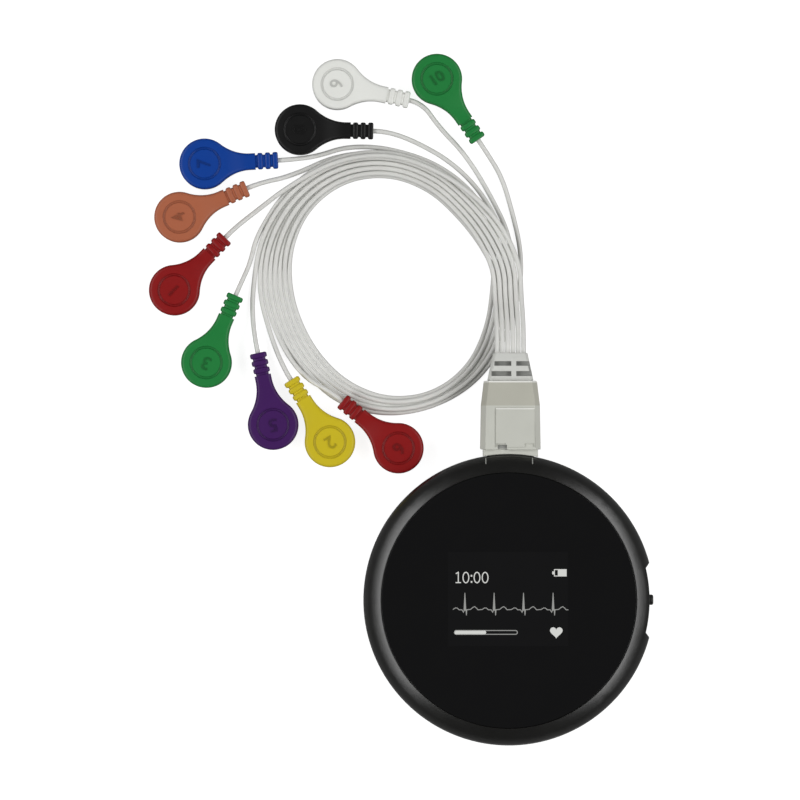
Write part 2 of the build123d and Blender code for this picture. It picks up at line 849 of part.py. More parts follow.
def ribbon_route(row, column):
    rise = ribbon_pitch / 2 if row == "upper" else -ribbon_pitch / 2
    middle = (ribbon_columns[row] - 1) / 2
    points = []
    for x, y, z, slide in ribbon_points:
        shift = column - middle - (slide if row == "lower" else 0)
        points.append(
            (socket_x + x + shift * ribbon_pitch, lead_start_y + y, socket_z + z + rise)
        )
    for angle, lane, height, slide in ribbon_steps:
        shift = column - middle - (slide if row == "lower" else 0)
        points.append(loop_point(angle, lane + shift * ribbon_pitch / lane_pitch, height + rise))
    return points


def lead_route(name):
    row, column, slot, lane, height, steps = lead_slots[name]
    points = ribbon_route(row, column)
    points.append(loop_point(bundle_angle, lane, height))
    for step in range(steps):
        half_pitch = loop_spread[step] / 2
        nested = sqrt(max(0, nest_margin**2 - half_pitch**2)) if slot % 2 else 0
        angle = loop_start + step * loop_step
        points.append(loop_point(angle, slot * half_pitch, lead_floor + nested * lane_pitch))
    for step, (lane, lift) in enumerate(lead_lanes[name], start=steps):
        points.append(loop_point(loop_start + step * loop_step, lane, lead_floor + lift))
    for x, y, lift in lead_tails[name]:
        points.append((x, y, lead_floor + lift))
    x, y, turn = snap_places[name]
    for reach in (snap_reach + neck_run, snap_reach):
        points.append((x + reach * cos(radians(turn)), y + reach * sin(radians(turn)), neck_middle))
    return points


def corner_radii(points):
    radii = []
    for before, corner, after in zip(points, points[1:], points[2:]):
        back = Vector(*before) - Vector(*corner)
        ahead = Vector(*after) - Vector(*corner)
        half_turn = radians(180 - back.get_angle(ahead)) / 2
        radii.append(corner_share * min(back.length, ahead.length) / tan(half_turn))
    return radii


def least_self_gap(wire):
    count = int(wire.length / lead_diameter)
    samples = [tuple(wire.position_at(index / count)) for index in range(count + 1)]
    apart = int(2 * pi)
    gaps = [
        dist(first, second)
        for index, first in enumerate(samples)
        for second in samples[index + apart:]
    ]
    return min(gaps) - lead_diameter


section_area = lead_sides / 2 * (lead_diameter / 2) ** 2 * sin(2 * pi / lead_sides)
for name in lead_slots:
    points = lead_route(name)
    radii = corner_radii(points)
    with BuildPart() as lead:
        with BuildLine() as lead_path:
            FilletPolyline(*points, radius=radii)
        with BuildSketch(Plane(origin=points[0], z_dir=(0, 1, 0))):
            RegularPolygon(lead_diameter / 2, lead_sides)
        sweep(path=lead_path.wires()[0])
    save(lead.part, f"lead_{name}")
    wire = lead_path.wires()[0]
    print(
        f"lead_{name}: length {wire.length:.1f}, least radius {min(radii):.1f},",
        f"volume share {lead.part.volume / (wire.length * section_area):.3f},",
        f"least gap to itself {least_self_gap(wire):.2f}",
    )
    print("    radii", " ".join(f"{radius:.0f}" for radius in radii))

# Snap head: a disc that flares into a ribbed neck, with the metal socket underneath
neck_half = neck_width / 2
neck_end = snap_reach - rib_count * rib_pitch
neck_top = neck_middle + neck_height / 2
neck_bottom = neck_middle - neck_height / 2
flare_radius = (neck_start**2 + neck_half**2 - snap_radius**2) / (2 * (snap_radius - neck_half))
flare_share = snap_radius / (snap_radius + flare_radius)
flare_x = neck_start * flare_share
flare_y = (neck_half + flare_radius) * flare_share
with BuildPart() as snap_head:
    with BuildSketch():
        with BuildLine():
            ThreePointArc((flare_x, flare_y), (-snap_radius, 0), (flare_x, -flare_y))
            TangentArc((neck_start, neck_half), (flare_x, flare_y), tangent=(-1, 0))
            TangentArc((neck_start, -neck_half), (flare_x, -flare_y), tangent=(-1, 0))
            Polyline(
                (neck_start, neck_half),
                (neck_end, neck_half),
                (neck_end, -neck_half),
                (neck_start, -neck_half),
            )
        make_face()
    extrude(amount=snap_height)
    with BuildSketch(Plane.XZ):
        Polygon(
            (-snap_radius, 0),
            (taper_start, 0),
            (taper_end, neck_bottom),
            (neck_end, neck_bottom),
            (neck_end, neck_top),
            (neck_start, neck_top),
            (taper_start, snap_height),
            (-snap_radius, snap_height),
            align=None,
        )
    extrude(amount=snap_radius, both=True, mode=Mode.INTERSECT)
    with BuildSketch(Plane.YZ.offset(neck_end)):
        with Locations((0, neck_middle)):
            Rectangle(core_width, core_height)
    extrude(amount=snap_reach - neck_end)
    for index in range(rib_count):
        with BuildSketch(Plane.YZ.offset(neck_end + (index + 1) * rib_pitch)):
            with Locations((0, neck_middle)):
                Rectangle(neck_width + index * rib_growth, neck_height)
        extrude(amount=-rib_width)
    with BuildSketch():
        RegularPolygon(snap_socket_radius + snap_socket_gap, snap_socket_sides)
    extrude(amount=snap_socket_height, mode=Mode.SUBTRACT)

with BuildPart() as snap_socket:
    with BuildSketch():
        RegularPolygon(snap_socket_radius, snap_socket_sides)
    extrude(amount=snap_socket_height)
    with BuildSketch():
        Circle(stud_bore_radius)
    extrude(amount=stud_bore_depth, mode=Mode.SUBTRACT)

snap_locations = {
    name: Location((x, y, 0), (0, 0, turn)) for name, (x, y, turn) in snap_places.items()
}
for name, place in snap_locations.items():
    with BuildPart() as placed:
        with Locations(place):
            add(snap_head.part)
    save(placed.part, f"snap_{name}")

with BuildPart() as snap_sockets:
    with Locations(*snap_locations.values()):
        add(snap_socket.part)
save(snap_sockets.part, "snap_sockets")
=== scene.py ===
"""Looks of the ten-lead Holter monitor, built round its solids. Metres, z = 0 is the table.

Finer pieces in the same places stand for the case, the lens, the key, the plug's shells, the
relief, the heads and the leads. The other solids show as they are."""
import json
from math import atan2, cos, hypot, inf, pi, radians, sin, sqrt

import bmesh
import bpy
from mathutils import Matrix, Vector


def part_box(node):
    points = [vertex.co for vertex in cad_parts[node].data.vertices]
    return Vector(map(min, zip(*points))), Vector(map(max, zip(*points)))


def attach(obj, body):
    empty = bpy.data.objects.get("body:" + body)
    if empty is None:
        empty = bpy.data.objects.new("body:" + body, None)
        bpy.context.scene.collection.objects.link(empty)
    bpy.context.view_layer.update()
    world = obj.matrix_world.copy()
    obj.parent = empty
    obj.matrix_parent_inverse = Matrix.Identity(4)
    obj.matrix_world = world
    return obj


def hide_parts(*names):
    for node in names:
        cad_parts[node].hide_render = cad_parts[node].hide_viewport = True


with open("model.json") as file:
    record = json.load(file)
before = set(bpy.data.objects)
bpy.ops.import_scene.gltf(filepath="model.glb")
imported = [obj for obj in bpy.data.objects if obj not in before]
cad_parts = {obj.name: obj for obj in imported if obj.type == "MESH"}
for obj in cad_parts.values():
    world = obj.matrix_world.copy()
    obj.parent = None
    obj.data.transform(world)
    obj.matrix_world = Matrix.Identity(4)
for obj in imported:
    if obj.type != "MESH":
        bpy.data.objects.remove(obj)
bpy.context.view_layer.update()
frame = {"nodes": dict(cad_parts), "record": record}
nodes = frame["nodes"]
mm = 0.001
tolerance = 0.01 * mm

# The photograph's frame, in pixels and metres
photo_pixels = 800
photo_scale = 0.28237 * mm
disc_middle_px = (508.57, 599.75)
view_height = 10.0 * mm
lens_length = 300.0
sensor_width = 36.0
camera_distance = photo_pixels * photo_scale * lens_length / sensor_width
camera_x = (photo_pixels / 2 - disc_middle_px[0]) * photo_scale
camera_y = (disc_middle_px[1] - photo_pixels / 2) * photo_scale


def photo_place(px, py, height=view_height):
    """The place at a height in the frame that a pixel of the photograph shows."""
    nearer = 1 - (height - view_height) / camera_distance
    x = camera_x + (px - photo_pixels / 2) * photo_scale * nearer
    y = camera_y + (photo_pixels / 2 - py) * photo_scale * nearer
    return (x, y)


# Camera straight above the middle of the photograph
def make_camera():
    camera = bpy.data.objects.new("camera", bpy.data.cameras.new("camera"))
    camera.data.lens = lens_length
    camera.data.sensor_width = sensor_width
    camera.location = (camera_x, camera_y, view_height + camera_distance)
    camera.data.clip_start = camera_distance / 100
    camera.data.clip_end = camera_distance * 10
    bpy.context.scene.collection.objects.link(camera)
    bpy.context.scene.camera = camera


# Floor, world and lamps. The floor glows for the camera alone, so its glow lights nothing
floor_half = 4.0
floor_drop = 0.02 * mm
floor_grey = 0.35
floor_roughness = 0.9
floor_glow = 0.88
world_light = 0.1
world_seen = 1.0
lamp_size = (1.6, 0.42)
lamp_reach, lamp_offset, lamp_rise = 0.71, -0.02, 0.7


def make_floor():
    mesh = bpy.data.meshes.new("floor")
    corners = [(x * floor_half, y * floor_half, 0) for x, y in ((-1, -1), (1, -1), (1, 1), (-1, 1))]
    mesh.from_pydata(corners, [], [(0, 1, 2, 3)])
    floor = bpy.data.objects.new("floor", mesh)
    floor.location.z = -floor_drop
    bpy.context.scene.collection.objects.link(floor)
    material = bpy.data.materials.new("floor")
    material.use_nodes = True
    tree = material.node_tree
    shader = tree.nodes["Principled BSDF"]
    shader.inputs["Base Color"].default_value = (floor_grey, floor_grey, floor_grey, 1)
    shader.inputs["Roughness"].default_value = floor_roughness
    shader.inputs["Emission Color"].default_value = (1, 1, 1, 1)
    path = tree.nodes.new("ShaderNodeLightPath")
    glow = tree.nodes.new("ShaderNodeMath")
    glow.operation = "MULTIPLY"
    glow.inputs[1].default_value = floor_glow
    tree.links.new(path.outputs["Is Camera Ray"], glow.inputs[0])
    tree.links.new(glow.outputs[0], shader.inputs["Emission Strength"])
    mesh.materials.append(material)


def make_world():
    world = bpy.data.worlds.new("studio")
    bpy.context.scene.world = world
    world.use_nodes = True
    tree = world.node_tree
    background = tree.nodes["Background"]
    background.inputs["Color"].default_value = (1, 1, 1, 1)
    path = tree.nodes.new("ShaderNodeLightPath")
    strength = tree.nodes.new("ShaderNodeMapRange")
    strength.inputs["To Min"].default_value = world_light
    strength.inputs["To Max"].default_value = world_seen
    tree.links.new(path.outputs["Is Camera Ray"], strength.inputs["Value"])
    tree.links.new(strength.outputs["Result"], background.inputs["Strength"])


def make_lamp(name, side, power):
    """A softbox beside the object, turned to the middle of the photograph."""
    lamp = bpy.data.lights.new(name, "AREA")
    lamp.shape = "RECTANGLE"
    lamp.size, lamp.size_y = lamp_size
    lamp.energy = power
    piece = bpy.data.objects.new(name, lamp)
    place = Vector((side * lamp_reach, lamp_offset, lamp_rise))
    piece.location = Vector((camera_x, camera_y, 0)) + place
    piece.rotation_mode = "QUATERNION"
    piece.rotation_quaternion = (-place).to_track_quat("-Z", "Y")
    bpy.context.scene.collection.objects.link(piece)


make_camera()
make_floor()
make_world()
make_lamp("softbox_left", side=-1, power=7.6)
make_lamp("softbox_right", side=1, power=8.2)

# Leads: the routes of the solids as the control points of one smooth line each. They leave the
# relief in a ribbon of two rows, lie nested in a loop and end in the heads
lead_diameter = 1.35 * mm
table_gap = 0.05 * mm
lead_floor = lead_diameter / 2 + table_gap
ribbon_pitch = 1.5 * mm
lane_pitch = 1.42 * mm
nest_margin = 1.03
socket_x = 0.5 * mm
socket_z = 9.4 * mm
lead_start_y = 69.7 * mm
loop_x = -33.8 * mm
loop_y = 88.1 * mm
loop_radius = 28.95 * mm
loop_rise = 0.36 * mm
loop_oval = 2.76 * mm
loop_oval_angle = 66.6
loop_step = 22.5
loop_start = 67.5
bundle_angle = 45.0
# Lanes between neighbours on the table at each step round the loop. The odd slots lie nested
# on top, between two of them
loop_spread = (1.0, 1.0, 1.1, 1.35, 1.75, 2.06, 2.06, 2.06, 2.06, 1.5, 1.2, 1.55)
# Along the ribbon in mm: x, y, z and the lower row's slide in columns
ribbon_points = ((0, 0, 0, 0), (0, 3.3, 0, 0), (-0.1, 9.3, -2.15, 0), (-0.6, 16.3, -5.05, 0.4))
# Where the ribbon meets the loop: angle, lane, height in mm and the same slide
ribbon_steps = ((10.0, 4.25, 3.5, 0.8), (27.0, 3.65, 3.35, 1.2))
ribbon_columns = {"upper": 6, "lower": 4}
snap_reach = 20.8 * mm
neck_middle = 3.5 * mm
neck_run = 3.9 * mm

# Row and column in the ribbon, slot in the bundle, lane and height in mm where the ribbon
# opens into the bundle, and how many steps round the loop the lead keeps its slot
lead_slots = {
    "orange": ("lower", 0, 0, 0.0, 0.725, 12),
    "black": ("lower", 1, 2, 1.03, 0.725, 12),
    "green_top": ("lower", 2, 4, 2.0, 1.2, 12),
    "yellow": ("lower", 3, 6, 3.0, 1.9, 6),
    "blue": ("upper", 0, 1, 0.5, 3.0, 12),
    "white": ("upper", 1, 3, 1.5, 3.0, 12),
    "red_bottom": ("upper", 2, 5, 2.5, 3.3, 7),
    "purple": ("upper", 3, 7, 3.5, 3.3, 5),
    "green_left": ("upper", 4, 9, 4.5, 3.3, 1),
    "red_left": ("upper", 5, 10, 5.2, 4.9, 0),
}
# Lane and lift in mm at the steps after those, until the lead leaves the loop
lead_lanes = {
    "orange": ((0.0, 0), (0.9, 0), (3.4, 0), (4.3, 0), (4.15, 0), (4.05, 0)),
    "black": ((2.06, 0), (3.3, 0), (5.9, 0), (6.5, 0)),
    "green_top": ((4.12, 0), (6.3, 0)),
    "yellow": ((6.2, 0),),
    "blue": ((1.03, 0), (2.0, 0), (4.6, 0), (5.4, 0), (5.2, 0), (5.1, 0)),
    "white": ((3.09, 0), (4.9, 0), (6.95, 0), (7.7, 0)),
    "red_bottom": ((5.0, 1.5),),
    "purple": ((7.15, 0),),
    "green_left": ((4.6, 1.5), (4.95, 1.6), (5.5, 0), (6.95, 0)),
    "red_left": ((4.0, 2.6), (4.0, 2.75), (4.2, 2.9), (5.6, 1.8)),
}
# Points in mm from the loop to the head: x, y and lift off the table
lead_tails = {
    "orange": ((-48.0, 126.2, 0), (-61.5, 119.9, 0)),
    "black": ((-15.8, 123.8, 0), (-26.2, 129.7, 0)),
    "green_top": ((3.7, 99.0, 0), (1.2, 109.8, 0), (-1.8, 119.8, 0)),
    "yellow": (),
    "blue": ((-45.6, 128.4, 0), (-53.9, 125.6, 0)),
    "white": ((-12.4, 126.4, 0), (-19.6, 133.8, 0.3)),
    "red_bottom": (),
    "purple": ((-72.5, 79.9, 0),),
    "green_left": ((-73.1, 95.3, 0.8),),
    "red_left": ((-71.0, 110.3, 0),),
}
# Middle of each snap head in mm and the direction of its neck in degrees
snap_places = {
    "orange": (-93.1, 108.2, 23.2),
    "black": (-59.0, 133.0, -1.1),
    "green_top": (-20.2, 147.3, -55.8),
    "yellow": (-50.5, 44.5, 122.1),
    "blue": (-86.0, 123.3, 2.8),
    "white": (-48.4, 145.8, -12.4),
    "red_bottom": (-31.1, 42.75, 140.1),
    "purple": (-66.6, 49.4, 102.0),
    "green_left": (-85.5, 67.0, 66.5),
    "red_left": (-94.6, 87.5, 45.9),
}
# The number moulded in each head
snap_numbers = {
    "red_left": 1,
    "yellow": 2,
    "green_left": 3,
    "orange": 4,
    "purple": 5,
    "red_bottom": 6,
    "blue": 7,
    "black": 8,
    "white": 9,
    "green_top": 10,
}


def loop_point(angle, lane, height):
    """A control point on the loop, with lanes counted outward from its inner edge.

    It lies further out by what the smooth line cuts off between two control points."""
    edge = (
        loop_radius
        + loop_rise * sin(radians(angle))
        + loop_oval * cos(radians(2 * (angle + loop_oval_angle)))
    )
    reach = (edge + lead_diameter / 2 + lane * lane_pitch) / cos(radians(loop_step / 2))
    return (loop_x + reach * cos(radians(angle)), loop_y + reach * sin(radians(angle)), height)


def ribbon_route(row, column):
    """A lead's control points from the relief to the loop."""
    rise = ribbon_pitch / 2 if row == "upper" else -ribbon_pitch / 2
    middle = (ribbon_columns[row] - 1) / 2
    points = []
    for x, y, z, slide in ribbon_points:
        shift = column - middle - (slide if row == "lower" else 0)
        points.append(
            (
                socket_x + x * mm + shift * ribbon_pitch,
                lead_start_y + y * mm,
                socket_z + z * mm + rise,
            )
        )
    for angle, lane, height, slide in ribbon_steps:
        shift = column - middle - (slide if row == "lower" else 0)
        lane += shift * ribbon_pitch / lane_pitch
        points.append(loop_point(angle, lane, height * mm + rise))
    return points


def lead_route(name):
    """All control points of a lead, from the relief into the neck of its head."""
    row, column, slot, lane, height, steps = lead_slots[name]
    points = ribbon_route(row, column)
    points.append(loop_point(bundle_angle, lane, height * mm))
    for step in range(steps):
        half_pitch = loop_spread[step] / 2
        nested = sqrt(max(0, nest_margin**2 - half_pitch**2)) if slot % 2 else 0
        angle = loop_start + step * loop_step
        points.append(loop_point(angle, slot * half_pitch, lead_floor + nested * lane_pitch))
    for step, (lane, lift) in enumerate(lead_lanes[name], start=steps):
        points.append(loop_point(loop_start + step * loop_step, lane, lead_floor + lift * mm))
    for x, y, lift in lead_tails[name]:
        points.append((x * mm, y * mm, lead_floor + lift * mm))
    x, y, turn = snap_places[name]
    for reach in (snap_reach + neck_run, snap_reach):
        points.append(
            (x * mm + reach * cos(radians(turn)), y * mm + reach * sin(radians(turn)), neck_middle)
        )
    return points


# Materials
def srgb(red, green, blue):
    """A colour given as 0 to 255 on screen, in the renderer's linear values."""
    return tuple(
        (value / 255 / 12.92 if value <= 10 else ((value / 255 + 0.055) / 1.055) ** 2.4)
        for value in (red, green, blue)
    )


mottle_size = 9 * mm
mottle_stops = (0.3, 0.7)
wear_size = 4 * mm


def finish_material(
    name, color, roughness, mottle=0.05, grain=0.02, grain_size=0.3 * mm, wear=0.06, **sockets
):
    """A surface with slight changes of colour and gloss and a fine grain."""
    material = bpy.data.materials.new(name)
    material.use_nodes = True
    tree = material.node_tree
    shader = tree.nodes["Principled BSDF"]
    for socket, value in sockets.items():
        shader.inputs[socket.replace("_", " ")].default_value = value
    place = tree.nodes.new("ShaderNodeTexCoord")

    def noise(size, detail):
        node = tree.nodes.new("ShaderNodeTexNoise")
        node.inputs["Scale"].default_value = 1 / size
        node.inputs["Detail"].default_value = detail
        tree.links.new(place.outputs["Object"], node.inputs["Vector"])
        return node.outputs["Fac"]

    ramp = tree.nodes.new("ShaderNodeValToRGB")
    stops = ramp.color_ramp.elements
    for stop, position, share in zip(stops, mottle_stops, (1 - mottle, 1 + mottle)):
        stop.position = position
        stop.color = (*(min(1, value * share) for value in color), 1)
    tree.links.new(noise(mottle_size, detail=3), ramp.inputs["Fac"])
    tree.links.new(ramp.outputs["Color"], shader.inputs["Base Color"])
    gloss = tree.nodes.new("ShaderNodeMapRange")
    gloss.inputs["To Min"].default_value = roughness - wear
    gloss.inputs["To Max"].default_value = roughness + wear
    tree.links.new(noise(wear_size, detail=4), gloss.inputs["Value"])
    tree.links.new(gloss.outputs["Result"], shader.inputs["Roughness"])
    bump = tree.nodes.new("ShaderNodeBump")
    bump.inputs["Strength"].default_value = grain
    bump.inputs["Distance"].default_value = grain_size
    tree.links.new(noise(grain_size, detail=2), bump.inputs["Height"])
    tree.links.new(bump.outputs["Normal"], shader.inputs["Normal"])
    return material


snap_colors = {
    "snap_orange": srgb(174, 100, 70),
    "snap_black": srgb(12, 12, 12),
    "snap_green": srgb(29, 125, 58),
    "snap_yellow": srgb(206, 186, 32),
    "snap_blue": srgb(0, 60, 149),
    "snap_white": srgb(234, 235, 230),
    "snap_red": srgb(138, 15, 16),
    "snap_purple": srgb(63, 22, 90),
}


def snap_material(name, color):
    """The moulded plastic of a snap head."""
    return finish_material(name, color, 0.42, mottle=0.02, grain=0.04, Specular_IOR_Level=0.3)


def glow_material(name, color, strength):
    """A lit display segment under polished glass."""
    material = finish_material(name, srgb(30, 30, 30), 0.08, mottle=0.02, grain=0.0, wear=0.03)
    shader = material.node_tree.nodes["Principled BSDF"]
    shader.inputs["Emission Color"].default_value = (*color, 1)
    shader.inputs["Emission Strength"].default_value = strength
    return material


# Colour, roughness and what differs from the usual surface, by the record's slots
looks = {
    "case_black": (
        srgb(12, 12, 10),
        0.3,
        dict(grain=0.05, grain_size=0.12 * mm, Specular_IOR_Level=0.8),
    ),
    "lens_black": (srgb(12, 12, 13), 0.08, dict(grain=0.0, wear=0.03)),
    "screw_steel": (srgb(120, 120, 122), 0.35, dict(Metallic=1.0)),
    "board_green": (srgb(20, 92, 52), 0.3, dict(mottle=0.15)),
    "tinned_steel": (srgb(200, 200, 196), 0.3, dict(Metallic=1.0)),
    "chip_black": (srgb(34, 34, 35), 0.5, dict(grain=0.08)),
    "tape_white": (srgb(228, 228, 224), 0.7, {}),
    "battery_foil": (srgb(190, 192, 196), 0.32, dict(Metallic=0.9)),
    "foam_grey": (srgb(70, 70, 72), 0.95, dict(grain=0.4, grain_size=0.4 * mm)),
    "inner_plastic": (srgb(150, 150, 148), 0.5, {}),
    "display_glass": (srgb(18, 18, 20), 0.08, dict(wear=0.03)),
    "flex_amber": (srgb(190, 120, 50), 0.3, {}),
    "contact_steel": (srgb(205, 205, 203), 0.25, dict(Metallic=1.0)),
    "rubber_black": (srgb(26, 26, 26), 0.65, {}),
    "plug_white": (srgb(200, 201, 192), 0.42, dict(mottle=0.03, grain=0.05)),
    "relief_white": (srgb(213, 214, 209), 0.5, dict(mottle=0.03, grain=0.05)),
    "lead_grey": (srgb(221, 221, 217), 0.36, dict(mottle=0.03, grain=0.03)),
    "snap_metal": (srgb(210, 210, 208), 0.2, dict(Metallic=1.0)),
}
materials = {
    name: finish_material(name, color, roughness, **extras)
    for name, (color, roughness, extras) in looks.items()
}
for name, color in snap_colors.items():
    materials[name] = snap_material(name, color)
# Darker copies of each head's colour: painted shade in its ring groove and on its raised number
painted_groove_shade, painted_number_shade = (
    {
        name: snap_material(f"{name}_{part}", [factor * share for share in color])
        for name, color in snap_colors.items()
    }
    for part, factor in (("groove", 0.8), ("number", 0.64))
)
screen_color = srgb(212, 213, 209)
screen_light = glow_material("screen_light", screen_color, 0.95)
screen_line = glow_material("screen_line", screen_color, 0.44)
screen_dark = finish_material("screen_dark", srgb(16, 16, 17), 0.08, grain=0.0, wear=0.03)
# Painted light: a grey for painted shade inside the relief's windows and on the plug notch's floor,
# and for the painted highlights beside the socket
painted_shade_and_highlight_grey = finish_material("painted_shade_and_highlight_grey", srgb(150, 151, 147), 0.6, mottle=0.03)
# Painted shade: the plug is coloured darker between its waist and its lip, standing in for a slope
# away from the lamps that the shell does not have
painted_slope_shade_grey = finish_material("painted_slope_shade_grey", srgb(184, 183, 171), 0.45, mottle=0.03, grain=0.05)
# Painted highlight: a lighter white for the plug's lit end edge and the lit back edge of its panel
painted_highlight_white = finish_material("painted_highlight_white", srgb(232, 232, 226), 0.4, mottle=0.02)


# Every solid gets its material. Those that no finer piece replaces show as they are
node_slots = {row["node"]: row["material_slot"] for row in frame["record"]["subparts"]}
for name, piece in nodes.items():
    piece.data.materials.clear()
    piece.data.materials.append(materials[node_slots[name]])


# Mesh helpers
merge_distance = 0.002 * mm
flat_angle = radians(1)
sharp_angle = radians(30)
smooth_angle = radians(35)
moulded_angle = radians(40)
round_steps = 3


def add_piece(name, mesh, body, slot, *replaced):
    """Puts a mesh or curve into the scene as a piece that rides on a body."""
    piece = bpy.data.objects.new(name, mesh)
    bpy.context.scene.collection.objects.link(piece)
    if not mesh.materials:
        mesh.materials.append(materials[slot])
    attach(piece, body)
    if replaced:
        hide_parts(*replaced)
    return piece


def smooth_shaded(mesh, angle=smooth_angle):
    """The mesh with smooth shading, and sharp where it turns by more than the angle."""
    mesh.shade_smooth()
    mesh.set_sharp_from_angle(angle=angle)
    return mesh


def cut_away(mesh, *cutters):
    """The mesh with each cutter taken out of it."""
    piece = bpy.data.objects.new("to_cut", mesh)
    bpy.context.scene.collection.objects.link(piece)
    helpers = []
    for cutter in cutters:
        helper = bpy.data.objects.new("cutter", cutter)
        bpy.context.scene.collection.objects.link(helper)
        cut = piece.modifiers.new("cut", "BOOLEAN")
        cut.operation = "DIFFERENCE"
        cut.solver = "EXACT"
        cut.object = helper
        helpers.append(helper)
    bpy.context.view_layer.update()
    graph = bpy.context.evaluated_depsgraph_get()
    result = bpy.data.meshes.new_from_object(piece.evaluated_get(graph))
    for helper in helpers:
        bpy.data.objects.remove(helper)
    bpy.data.objects.remove(piece)
    return result


def mesh_of(form, name, outward=False):
    """The mesh of a finished form, with its faces turned outward if asked."""
    if outward:
        bmesh.ops.recalc_face_normals(form, faces=form.faces)
    mesh = bpy.data.meshes.new(name)
    form.to_mesh(mesh)
    form.free()
    return mesh


def bridged(form, rows, capped=True):
    """Joins each row of corners to the next by faces, and closes both ends."""
    for first, second in zip(rows, rows[1:]):
        for k in range(len(first)):
            form.faces.new((first[k - 1], first[k], second[k], second[k - 1]))
    if capped:
        form.faces.new(rows[0])
        form.faces.new(rows[-1])


def box_mesh(name, low, high):
    """A box between its low and its high corner."""
    form = bmesh.new()
    bmesh.ops.create_cube(form, size=1)
    for vert in form.verts:
        vert.co = [a if share < 0 else b for a, b, share in zip(low, high, vert.co)]
    return mesh_of(form, name)


def rounded_copy(node, name, body, width, cutters=(), splits=(), fine_above=inf, fine_width=0.0):
    """The solid's own shape with its outer edges rounded, which stands for the solid.

    The cutters are taken out of it first. Edges above the height fine_above get the finer
    width. It is divided across Y at the splits, for tinted() to colour its parts."""
    mesh = nodes[node].data.copy()
    if "custom_normal" in mesh.attributes:
        mesh.attributes.remove(mesh.attributes["custom_normal"])
    if cutters:
        mesh = cut_away(mesh, *cutters)
    form = bmesh.new()
    form.from_mesh(mesh)
    bmesh.ops.remove_doubles(form, verts=form.verts, dist=merge_distance)
    bmesh.ops.dissolve_limit(form, angle_limit=flat_angle, verts=form.verts, edges=form.edges)
    for offset, upper in ((width, False), (fine_width, True)):
        sharp = [
            edge
            for edge in form.edges
            if len(edge.link_faces) == 2
            and edge.is_convex
            and edge.calc_face_angle() > sharp_angle
            and (min(vert.co.z for vert in edge.verts) > fine_above) == upper
        ]
        if sharp:
            bmesh.ops.bevel(
                form,
                geom=sharp,
                offset=offset,
                offset_type="OFFSET",
                segments=round_steps,
                profile=0.5,
                affect="EDGES",
                clamp_overlap=False,
            )
    for split_y in splits:
        bmesh.ops.bisect_plane(
            form,
            geom=form.verts[:] + form.edges[:] + form.faces[:],
            plane_co=(0, split_y, 0),
            plane_no=(0, 1, 0),
        )
    form.to_mesh(mesh)
    form.free()
    mesh.name = name
    smooth_shaded(mesh)
    piece = add_piece(name, mesh, body, node_slots[node], node)
    weighted = piece.modifiers.new("weighted_normals", "WEIGHTED_NORMAL")
    weighted.keep_sharp = True
    return piece


def joined(name, meshes):
    """One mesh of several."""
    form = bmesh.new()
    for mesh in meshes:
        form.from_mesh(mesh)
    return mesh_of(form, name)


def tinted(piece, material, chosen):
    """Gives one more material to the faces whose middle is chosen."""
    piece.data.materials.append(material)
    index = len(piece.data.materials) - 1
    for face in piece.data.polygons:
        if chosen(face.center):
            face.material_index = index


# Recorder. In the photograph the recess round the button runs down to the back, so it is
# carried on below the ledge that the front housing's solid has there. The ledge's corners lie
# on an inner arc, over 39 mm from the middle, and on the case's rim, over 40 mm from it
ledge_z = 6.9 * mm
arc_over_radius = 39.0 * mm
rim_over_radius = 40.0 * mm
recess_far_x = 42.4 * mm
recess_reach = radians(16)
below_case = 1.0 * mm


def recess_cutter():
    """What lies outside the recess below the ledge, from the ledge's own corners."""
    arc, rim = [], []
    for vert in nodes["front_housing"].data.vertices:
        x, y, z = vert.co
        radius, angle = hypot(x, y), atan2(y, x)
        if abs(z - ledge_z) < tolerance and abs(angle) < recess_reach and radius > arc_over_radius:
            (arc if radius < rim_over_radius else rim).append((angle, x, y))
    arc = sorted(set(arc))
    low_corner, high_corner = min(rim), max(rim)
    outline = [low_corner[1:], *(point[1:] for point in arc), high_corner[1:]]
    outline += [(recess_far_x, high_corner[2]), (recess_far_x, low_corner[2])]
    form = bmesh.new()
    rows = [[form.verts.new((x, y, z)) for x, y in outline] for z in (-below_case, ledge_z)]
    bridged(form, rows)
    return mesh_of(form, "recess_cutter", outward=True)


rounded_copy("front_housing", "case_front", "recorder", 0.18 * mm, cutters=[recess_cutter()])
rounded_copy("rear_housing", "case_back", "recorder", 0.2 * mm, cutters=[recess_cutter()])
rounded_copy("front_lens", "lens", "recorder", 0.1 * mm)
rounded_copy("side_button", "key_cap", "key", 0.12 * mm)

# Plug and strain relief
plug_top = 14.6 * mm
plug_waist_y = 54.85 * mm
plug_lip_y = 61.35 * mm
panel_line_y = 53.8 * mm
relief_y = 61.9 * mm
relief_half_height = 4.1 * mm
relief_half_width = 6.5 * mm
relief_slope = 0.2126
relief_corner = 0.8 * mm
relief_edge = 0.2 * mm
relief_window_depth = 1.3 * mm
relief_window_reach = 6.0 * mm
window_depth = 0.4 * mm
# The relief's windows in pixels of the photograph: the far edge, the near edge and the left
# end of each row. The right windows are open at the side, so they end beyond it
relief_window_rows = ((361.2, 365.8, 494.3), (371.1, 376.1, 491.4))
left_window_end, right_window_start, right_window_end = 511.2, 516.1, 540.0
# Flange and neck of the relief inside the plug: half width and half height
relief_flange = (5.5 * mm, 3.2 * mm)
relief_flange_length = 1.8 * mm
relief_neck = (4.9 * mm, 2.7 * mm)
relief_overlap = 1.0 * mm
